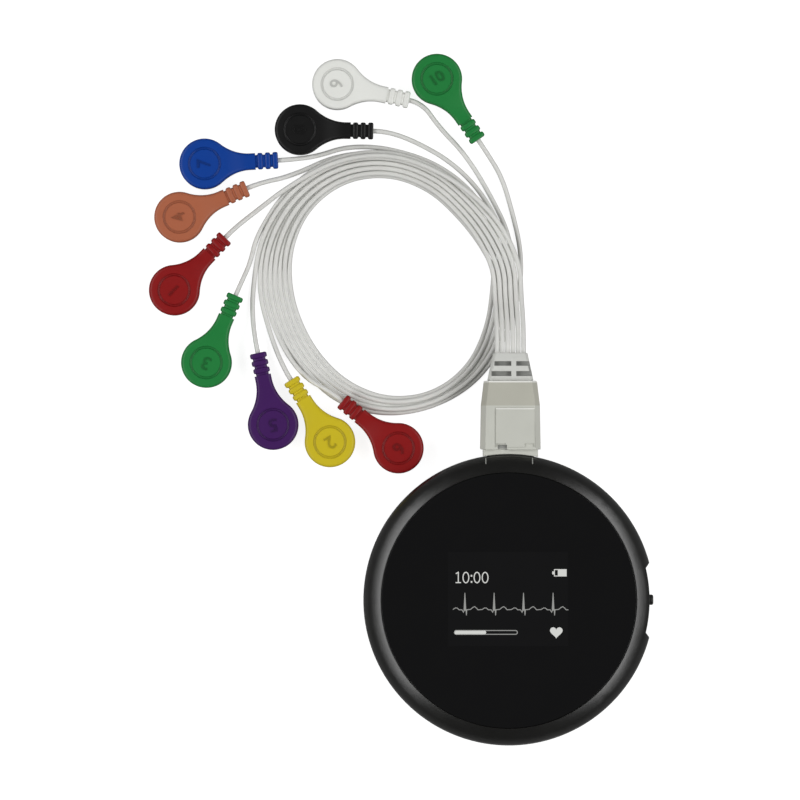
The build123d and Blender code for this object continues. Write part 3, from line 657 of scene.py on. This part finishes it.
# The notch at the front of the plug's panel, between its low and its high corner; its floor is
# coloured grey as painted shade
notch_low = (-3.13 * mm, 42.2 * mm, plug_top - 0.75 * mm)
notch_high = (-0.53 * mm, 43.8 * mm, plug_top + 1.0 * mm)
for side in ("upper", "lower"):
    piece = rounded_copy(
        f"plug_{side}_shell",
        f"plug_cover_{side}",
        "lead_set",
        0.22 * mm,
        cutters=[box_mesh("notch", notch_low, notch_high)],
        splits=(panel_line_y, plug_waist_y, plug_lip_y),
        fine_above=plug_top - tolerance,
        fine_width=0.05 * mm,
    )
    # Painted shade between the plug's waist and its lip
    tinted(piece, painted_slope_shade_grey, lambda middle: plug_waist_y < middle.y < plug_lip_y)
    # Painted highlights: the plug's end past its lip and the panel's top faces along its back edge
    tinted(piece, painted_highlight_white, lambda middle: middle.y > plug_lip_y)
    tinted(
        piece,
        painted_highlight_white,
        lambda middle: middle.z > plug_top and panel_line_y < middle.y < plug_waist_y,
    )
    # Painted shade on the notch's floor
    tinted(
        piece,
        painted_shade_and_highlight_grey,
        lambda middle: abs(middle.z - notch_low[2]) < tolerance
        and notch_low[0] < middle.x < notch_high[0]
        and notch_low[1] < middle.y < notch_high[1],
    )


def in_relief_window(middle):
    """Whether a face lies deeper than the relief's sloped top and bottom."""
    drawn_in = (middle.y - relief_y) * relief_slope + window_depth
    return (
        middle.y > relief_y
        and abs(middle.z - socket_z) < relief_half_height - drawn_in
        and abs(middle.x - socket_x) < relief_half_width - drawn_in
        and middle.y < lead_start_y - window_depth
    )


def relief_taper():
    """The relief's tapered body without its windows."""
    form = bmesh.new()
    rings = []
    for y in (relief_y, lead_start_y):
        drawn_in = (y - relief_y) * relief_slope
        side, top = relief_half_width - drawn_in, relief_half_height - drawn_in
        outline = []
        for across, up in ((1, 1), (1, -1), (-1, -1), (-1, 1)):
            corners = [(side - relief_corner, top), (side, top - relief_corner)]
            outline += [(across * x, up * z) for x, z in corners[:: across * up]]
        rings.append([form.verts.new((socket_x + x, y, socket_z + z)) for x, z in outline])
    bridged(form, rings)
    bmesh.ops.recalc_face_normals(form, faces=form.faces)
    bmesh.ops.bevel(
        form,
        geom=form.edges[:],
        offset=relief_edge,
        offset_type="OFFSET",
        segments=round_steps,
        profile=0.5,
        affect="EDGES",
    )
    return mesh_of(form, "relief_taper")


def make_relief():
    """The relief with the windows where the photograph shows them, in rows of two."""
    cutters = []
    for far_px, near_px, left_px in relief_window_rows:
        far_y, near_y = photo_place(0, far_px)[1], photo_place(0, near_px)[1]
        drawn_in = ((far_y + near_y) / 2 - relief_y) * relief_slope
        floor_height = relief_half_height - drawn_in - relief_window_depth
        columns = ((left_px, left_window_end), (right_window_start, right_window_end))
        for start_px, end_px in columns:
            start_x, end_x = photo_place(start_px, 0)[0], photo_place(end_px, 0)[0]
            for bottom, top in (
                (floor_height, relief_window_reach),
                (-relief_window_reach, -floor_height),
            ):
                low = (start_x, near_y, socket_z + bottom)
                high = (end_x, far_y, socket_z + top)
                cutters.append(box_mesh("relief_window", low, high))
    neck_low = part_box("strain_relief")[0].y
    flange = (*relief_flange, neck_low, neck_low + relief_flange_length)
    neck = (*relief_neck, neck_low + relief_overlap, relief_y + relief_overlap)
    parts = [cut_away(relief_taper(), *cutters)]
    for half_width, half_height, start_y, end_y in (flange, neck):
        low = (socket_x - half_width, start_y, socket_z - half_height)
        high = (socket_x + half_width, end_y, socket_z + half_height)
        parts.append(box_mesh("relief_neck", low, high))
    mesh = smooth_shaded(joined("relief", parts), moulded_angle)
    return add_piece("relief", mesh, "lead_set", node_slots["strain_relief"], "strain_relief")


# Painted shade: the faces inside the relief's windows are coloured grey
tinted(make_relief(), painted_shade_and_highlight_grey, in_relief_window)

# Snap heads
snap_radius = 7.15 * mm
snap_height = 6.0 * mm
neck_width = 4.65 * mm
neck_height = 3.4 * mm
neck_start = 12.9 * mm
taper_start = 5.5 * mm
taper_end = 10.4 * mm
rib_pitch = 2.15 * mm
rib_width = 1.5 * mm
rib_count = 3
rib_growth = 0.05 * mm
rib_edge = 0.42 * mm
rib_bend = 0.3 * rib_edge
core_width = 3.6 * mm
core_height = 2.6 * mm
neck_corner = 0.75 * mm
corner_margin = 0.1 * mm
neck_overlap = 1.0 * mm
top_edge = 0.95 * mm
bottom_edge = 0.35 * mm
edge_steps = 6
on_axis = 1e-7
ring_radius = 4.35 * mm
ring_thickness = 0.42 * mm
ring_lift = 0.08 * mm
socket_recess_radius = 3.83 * mm
socket_recess_height = 3.6 * mm
socket_recess_below = 1.0 * mm
socket_sides = 12
number_height = 5.2 * mm
ten_height = 0.85 * number_height
number_rise = 0.2 * mm
number_edge = 0.04 * mm


def ease(start, end, value):
    """A smooth rise from 0 at the start to 1 at the end."""
    share = min(1, max(0, (value - start) / (end - start)))
    return share * share * (3 - 2 * share)


def head_outline():
    """Upper half of the head's outline, from its far end to its neck, with outward normals."""
    half = neck_width / 2
    flare = (neck_start**2 + half**2 - snap_radius**2) / (2 * (snap_radius - half))
    share = snap_radius / (snap_radius + flare)
    meet = atan2((half + flare) * share, neck_start * share)
    points = []
    arc_steps = 48
    for step in range(arc_steps + 1):
        angle = pi + (meet - pi) * step / arc_steps
        normal = (cos(angle), sin(angle))
        points.append(((snap_radius * normal[0], snap_radius * normal[1]), normal))
    flare_steps = 16
    for step in range(1, flare_steps + 1):
        angle = meet + pi + (1.5 * pi - meet - pi) * step / flare_steps
        spot = (neck_start + flare * cos(angle), half + flare + flare * sin(angle))
        points.append((spot, (-cos(angle), -sin(angle))))
    neck_end = snap_reach - rib_count * rib_pitch
    points.append(((neck_end, half), (0, 1)))
    return points


def head_mesh():
    """The head on its own axes: the disc's middle at the origin, the neck along +X."""
    form = bmesh.new()
    outline = head_outline()
    layers = []
    for step in range(edge_steps + 1):
        angle = pi / 2 * step / edge_steps
        layers.append((bottom_edge * (1 - sin(angle)), bottom_edge * (1 - cos(angle)), False))
    for step in range(edge_steps + 1):
        angle = pi / 2 * step / edge_steps
        layers.append((top_edge * (1 - cos(angle)), top_edge * (1 - sin(angle)), True))
    rows = []
    for inset, depth, upper in layers:
        upper_row, lower_row = [], []
        for (x, y), (nx, ny) in outline:
            x, y = x - inset * nx, y - inset * ny
            rise = ease(taper_start, neck_start, x)
            top = snap_height + (neck_middle + neck_height / 2 - snap_height) * rise
            bottom = (neck_middle - neck_height / 2) * ease(taper_start, taper_end, x)
            z = top - depth if upper else bottom + depth
            upper_row.append(form.verts.new((x, y, z)))
            lower_row.append(upper_row[-1] if abs(y) < on_axis else form.verts.new((x, -y, z)))
        rows.append((upper_row, lower_row))
    count = len(outline)
    for (upper_low, lower_low), (upper_high, lower_high) in zip(rows, rows[1:]):
        for k in range(count - 1):
            form.faces.new((upper_low[k], upper_high[k], upper_high[k + 1], upper_low[k + 1]))
            form.faces.new((lower_low[k + 1], lower_high[k + 1], lower_high[k], lower_low[k]))
    for (upper_row, lower_row), flip in ((rows[-1], False), (rows[0], True)):
        for k in range(count - 1):
            corners = [upper_row[k], upper_row[k + 1], lower_row[k + 1], lower_row[k]]
            if upper_row[k] == lower_row[k]:
                corners.pop()
            form.faces.new(corners if flip else corners[::-1])
    end = [row[0][-1] for row in rows] + [row[1][-1] for row in reversed(rows)]
    form.faces.new(end)
    return mesh_of(form, "head", outward=True)


def socket_recess():
    """What is taken out of the head for its metal socket."""
    form = bmesh.new()
    bmesh.ops.create_cone(
        form,
        cap_ends=True,
        segments=socket_sides,
        radius1=socket_recess_radius,
        radius2=socket_recess_radius,
        depth=socket_recess_height + socket_recess_below,
        matrix=Matrix.Translation((0, 0, (socket_recess_height - socket_recess_below) / 2)),
    )
    return mesh_of(form, "socket_recess")


def ring_groove():
    """A ring lying flat, which cuts the groove in the head's top."""
    form = bmesh.new()
    steps, sides = 72, 12
    height = snap_height + ring_lift
    rows = []
    for step in range(steps):
        turn = 2 * pi * step / steps
        row = []
        for side in range(sides):
            angle = 2 * pi * side / sides
            reach = ring_radius + ring_thickness * cos(angle)
            z = height + ring_thickness * sin(angle)
            row.append(form.verts.new((reach * cos(turn), reach * sin(turn), z)))
        rows.append(row)
    bridged(form, rows + rows[:1], capped=False)
    return mesh_of(form, "ring_groove", outward=True)


def ribbed_neck():
    """The grooved end of the neck, as one loft through rounded rectangles."""
    neck_end = snap_reach - rib_count * rib_pitch
    corner_steps = 4
    core = (core_width / 2, core_height / 2)
    stations = [(neck_end - neck_overlap, *core)]
    for index in range(rib_count):
        end = neck_end + (index + 1) * rib_pitch
        start = end - rib_width
        half_width = (neck_width + index * rib_growth) / 2
        half_height = neck_height / 2
        insets = [(start, rib_edge), (start + rib_bend, rib_bend), (start + rib_edge, 0)]
        insets += [(end - rib_edge, 0), (end - rib_bend, rib_bend), (end, rib_edge)]
        stations.append((start, *core))
        stations += [(x, half_width - inset, half_height - inset) for x, inset in insets]
        if index < rib_count - 1:
            stations.append((end, *core))
    form = bmesh.new()
    rings = []
    for x, half_width, half_height in stations:
        corner = min(neck_corner, half_width - corner_margin, half_height - corner_margin)
        ring = []
        for side in range(4):
            cy = (half_width - corner) * (1, -1, -1, 1)[side]
            cz = (half_height - corner) * (1, 1, -1, -1)[side]
            for step in range(corner_steps + 1):
                angle = pi / 2 * (side + step / corner_steps)
                y, z = cy + corner * cos(angle), neck_middle + cz + corner * sin(angle)
                ring.append(form.verts.new((x, y, z)))
        rings.append(ring)
    bridged(form, rings)
    return mesh_of(form, "neck", outward=True)


def number_mesh(number):
    """A plain moulded number, middle on the origin, its top towards -X."""
    text = bpy.data.curves.new("number", "FONT")
    text.body = str(number)
    text.size = number_height if number < 10 else ten_height
    text.align_x = "CENTER"
    text.align_y = "CENTER"
    text.extrude = number_rise
    text.bevel_depth = number_edge
    text.bevel_resolution = 1
    helper = bpy.data.objects.new("number", text)
    bpy.context.scene.collection.objects.link(helper)
    bpy.context.view_layer.update()
    mesh = bpy.data.meshes.new_from_object(
        helper.evaluated_get(bpy.context.evaluated_depsgraph_get())
    )
    bpy.data.objects.remove(helper)
    mesh.transform(Matrix.Rotation(pi / 2, 4, "Z"))
    mesh.transform(Matrix.Translation((0, 0, snap_height)))
    return mesh


body_mesh = cut_away(head_mesh(), ring_groove(), socket_recess())
neck_mesh = ribbed_neck()
heads = {}
for name, (x, y, turn) in snap_places.items():
    place = Matrix.Translation((x * mm, y * mm, 0)) @ Matrix.Rotation(radians(turn), 4, "Z")
    mesh = joined(f"head_{name}", [body_mesh, neck_mesh, number_mesh(snap_numbers[name])])
    mesh.transform(place)
    smooth_shaded(mesh, moulded_angle)
    slot = node_slots[f"snap_{name}"]
    heads[name] = add_piece(f"head_{name}", mesh, "lead_set", slot, f"snap_{name}")
    # Painted shade: the ring groove and the raised number are coloured darker than the head
    tinted(
        heads[name],
        painted_groove_shade[slot],
        lambda middle: snap_height - ring_thickness < middle.z < snap_height - tolerance
        and hypot(middle.x - x * mm, middle.y - y * mm) < ring_radius + ring_thickness,
    )
    tinted(heads[name], painted_number_shade[slot], lambda middle: middle.z > snap_height + tolerance)


# Leads
def make_lead(name):
    """The lead as one smooth round cord along its route."""
    points = lead_route(name)
    line = bpy.data.curves.new(f"cord_{name}", "CURVE")
    line.dimensions = "3D"
    line.bevel_depth = lead_diameter / 2
    line.bevel_resolution = 4
    line.resolution_u = 14
    line.use_fill_caps = True
    spline = line.splines.new("NURBS")
    spline.points.add(len(points) - 1)
    for control, point in zip(spline.points, points):
        control.co = (*point, 1)
    spline.order_u = 3
    spline.use_endpoint_u = True
    spline.use_smooth = True
    lead = add_piece(f"cord_{name}", line, "lead_set", "lead_grey", f"lead_{name}")


for name in snap_places:
    make_lead(name)

# Two thin light strips on the sloped rim beside the socket, painted highlights of the socket's lit
# edges. The rim's profile is radius and height in mm, the strips' places are pixels
mark_columns = (485.6, 532.2)
mark_near_row, mark_far_row = 463.8, 457.5
rim_profile = ((35.9, 17.6), (38.4, 16.45), (40.4, 14.75), (41.0, 13.4))
mark_width = 0.28 * mm
mark_steps = 12
mark_rise = 0.03 * mm
mark_depth = 0.15 * mm


def rim_height(radius):
    """Height of the sloped rim at a radius."""
    for (inner, high), (outer, low) in zip(rim_profile, rim_profile[1:]):
        if radius <= outer * mm:
            return (high + (low - high) * (radius / mm - inner) / (outer - inner)) * mm
    return rim_profile[-1][1] * mm


def rim_mark(form, x, start_y, end_y):
    """Adds a thin strip that follows the rim's slope."""
    corners = ((-1, mark_rise), (1, mark_rise), (1, -mark_depth), (-1, -mark_depth))
    rows = []
    for step in range(mark_steps + 1):
        y = start_y + (end_y - start_y) * step / mark_steps
        z = rim_height(hypot(x, y))
        rows.append(
            [form.verts.new((x + side * mark_width / 2, y, z + lift)) for side, lift in corners]
        )
    bridged(form, rows)


mark_form = bmesh.new()
for mark_px in mark_columns:
    mark_x, mark_start = photo_place(mark_px, mark_near_row)
    rim_mark(mark_form, mark_x, mark_start, photo_place(mark_px, mark_far_row)[1])
edge_highlight_mesh = mesh_of(mark_form, "socket_edge_highlights", outward=True)
edge_highlights = add_piece("socket_edge_highlights", edge_highlight_mesh, "recorder", "plug_white")
# Painted highlight: the strips are coloured light grey on the black rim
tinted(edge_highlights, painted_shade_and_highlight_grey, lambda middle: True)

# Display graphics, just proud of the lens. Their places are pixels of the photograph
lens_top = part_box("front_lens")[1].z
line_width = 0.23 * mm
edge_line_width = 0.24 * mm
time_width = 0.29 * mm
mitre_limit = 0.4
graphic_rise = 0.02 * mm
field_rise = 0.004 * mm


def flat_mesh(name, outline, height=graphic_rise):
    """A thin plate with the given outline, lying on the lens."""
    form = bmesh.new()
    corners = [form.verts.new((x, y, lens_top)) for x, y in outline]
    face = form.faces.new(corners)
    top = bmesh.ops.extrude_face_region(form, geom=[face])
    bmesh.ops.translate(
        form,
        verts=[item for item in top["geom"] if isinstance(item, bmesh.types.BMVert)],
        vec=(0, 0, height),
    )
    return mesh_of(form, name, outward=True)


def line_mesh(name, points, width=line_width, cyclic=False):
    """A flat line of even width on the lens, with mitred corners."""
    count = len(points)
    corners = [(side, lens_top) for side in (-1, 1)]
    corners += [(side, lens_top + graphic_rise) for side in (1, -1)]
    form = bmesh.new()
    rows = []
    for k, (x, y) in enumerate(points):
        before = points[k - 1] if cyclic or k else points[k]
        after = points[(k + 1) % count] if cyclic or k < count - 1 else points[k]
        ways = []
        for start, end in ((before, points[k]), (points[k], after)):
            way = Vector((end[0] - start[0], end[1] - start[1]))
            if way.length > 0:
                ways.append(way.normalized())
        across = sum((Vector((-way.y, way.x)) for way in ways), Vector((0, 0))).normalized()
        reach = width / 2 / max(mitre_limit, across.dot(Vector((-ways[0].y, ways[0].x))))
        rows.append(
            [
                form.verts.new((x + side * reach * across.x, y + side * reach * across.y, z))
                for side, z in corners
            ]
        )
    bridged(form, rows + rows[:1] if cyclic else rows, capped=not cyclic)
    return mesh_of(form, name, outward=True)


def screen_place(px, py):
    """The place on the lens that a pixel shows."""
    return photo_place(px, py, lens_top)


def photo_box(left, bottom, right, top):
    """The corners of a box from its sides in pixels."""
    corners = ((left, bottom), (right, bottom), (right, top), (left, top))
    return [screen_place(*corner) for corner in corners]


def rounded_box(left, bottom, right, top):
    """A box with half-round ends."""
    x0, y0 = screen_place(left, bottom)
    x1, y1 = screen_place(right, top)
    radius = (y1 - y0) / 2
    end_steps = 6
    points = []
    for middle, start in ((x1 - radius, -pi / 2), (x0 + radius, pi / 2)):
        for step in range(end_steps + 1):
            angle = start + pi * step / end_steps
            points.append((middle + radius * cos(angle), y0 + radius + radius * sin(angle)))
    return points


def add_graphic(name, meshes, material=screen_light):
    """Puts flat meshes on the lens as one piece."""
    whole = joined(name, meshes)
    whole.materials.append(material)
    add_piece(name, whole, "recorder", "display_glass")


# The time, 10:00, as thin strokes
time_top, time_bottom = 572.3, 582.8
one_stroke = ((455.8, 573.7), (458.3, 572.3), (458.3, 582.6))
one_foot = ((455.6, 582.6), (461.0, 582.6))
zero_columns = (465.9, 477.0, 485.1)
zero_half_width = 2.9
zero_steps = 24
colon_left, colon_right = 470.7, 472.3
colon_rows = (575.8, 581.9)
colon_half_height = 0.9


def zero_points(px):
    """An upright oval as high as the time."""
    middle, half_height = (time_top + time_bottom) / 2, (time_bottom - time_top) / 2
    turns = [2 * pi * step / zero_steps for step in range(zero_steps)]
    return [
        screen_place(px + zero_half_width * sin(turn), middle - half_height * cos(turn))
        for turn in turns
    ]


def screen_time():
    """A one, a zero, a colon and two zeros."""
    meshes = [
        line_mesh("one", [screen_place(*point) for point in one_stroke], time_width),
        line_mesh("foot", [screen_place(*point) for point in one_foot], time_width),
    ]
    for px in zero_columns:
        meshes.append(line_mesh("zero", zero_points(px), time_width, cyclic=True))
    for py in colon_rows:
        low, high = py + colon_half_height, py - colon_half_height
        meshes.append(flat_mesh("dot", photo_box(colon_left, low, colon_right, high)))
    return meshes


# The trace: its base line, its ends, its beats, and the waves between them as steps along and up
trace_base = 609.8
trace_start, trace_end = 451.6, 568.4
beat_columns = (464.9, 494.1, 523.5, 553.1)
wave_steps = (
    *((-12.0, 0.3), (-9.5, 1.9), (-7.6, 1.7), (-5.8, 0), (-3.0, 0), (-1.4, -2.4), (-0.5, 0)),
    *((1.6, 0), (5.6, 0.4), (8.0, 2.4), (9.8, 3.2), (11.4, 1.9), (13.0, 0)),
)
# The tall peak and the small dip of a beat: shift, foot, tip and half width at the foot
beat_spikes = ((0, 0.8, -17.0, 1.35), (1.5, -0.5, 5.6, 0.9))
spike_half_tip = 0.35
spike_rise = 1.5 * graphic_rise


def wave_points():
    """The line of the trace without its peaks."""
    points = []
    for column in beat_columns:
        for along, up in wave_steps:
            if trace_start < column + along < trace_end:
                points.append(screen_place(column + along, trace_base - up))
    points.append(screen_place(trace_end, trace_base))
    return points


def spike_meshes():
    """The peaks and dips that rise from the line."""
    meshes = []
    for column in beat_columns:
        for shift, foot, tip, half in beat_spikes:
            middle = column + shift
            outline = [
                screen_place(middle - half, trace_base + foot),
                screen_place(middle + half, trace_base + foot),
                screen_place(middle + spike_half_tip, trace_base + tip),
                screen_place(middle - spike_half_tip, trace_base + tip),
            ]
            meshes.append(flat_mesh("spike", outline, spike_rise))
    return meshes


heart_place = (556.3, 632.0)
heart_half_width = 6.3
heart_steps = 48


def heart_outline():
    """The usual curve of a heart, which reaches 16 units to each side."""
    middle_x, middle_y = screen_place(*heart_place)
    half_width = heart_half_width * photo_scale
    points = []
    for step in range(heart_steps):
        angle = 2 * pi * step / heart_steps
        x = sin(angle) ** 3
        y = (13 * cos(angle) - 5 * cos(2 * angle) - 2 * cos(3 * angle) - cos(4 * angle)) / 16
        points.append((middle_x + half_width * x, middle_y + half_width * y))
    return points[::-1]


# Boxes on the screen: left, bottom, right and top
field_box = (448, 646, 568, 552)
bar_box = (454.4, 634.3, 517.4, 630.5)
bar_filled_box = (454.3, 634.5, 486.2, 630.3)
battery_box = (554.4, 576.0, 566.2, 569.6)
battery_cap_box = (552.2, 574.4, 554.0, 571.4)
battery_charge_box = (557.8, 575.7, 566.0, 569.9)


def edge_mesh(outline):
    """A closed thin line along an outline."""
    return line_mesh("edge", outline, edge_line_width, cyclic=True)


field = flat_mesh("field", photo_box(*field_box), field_rise)
add_graphic("screen_field", [field], screen_dark)
add_graphic("screen_time", screen_time())
add_graphic("screen_trace", [line_mesh("waves", wave_points()), *spike_meshes()], screen_line)
add_graphic("screen_heart", [flat_mesh("heart", heart_outline())])
add_graphic("screen_bar_filled", [flat_mesh("bar_filled", rounded_box(*bar_filled_box))])
add_graphic("screen_bar", [edge_mesh(rounded_box(*bar_box))], screen_line)
battery = [edge_mesh(photo_box(*battery_box))]
battery += [flat_mesh("battery", photo_box(*box)) for box in (battery_cap_box, battery_charge_box)]
add_graphic("screen_battery", battery)

bpy.context.scene.view_settings.view_transform = "Standard"
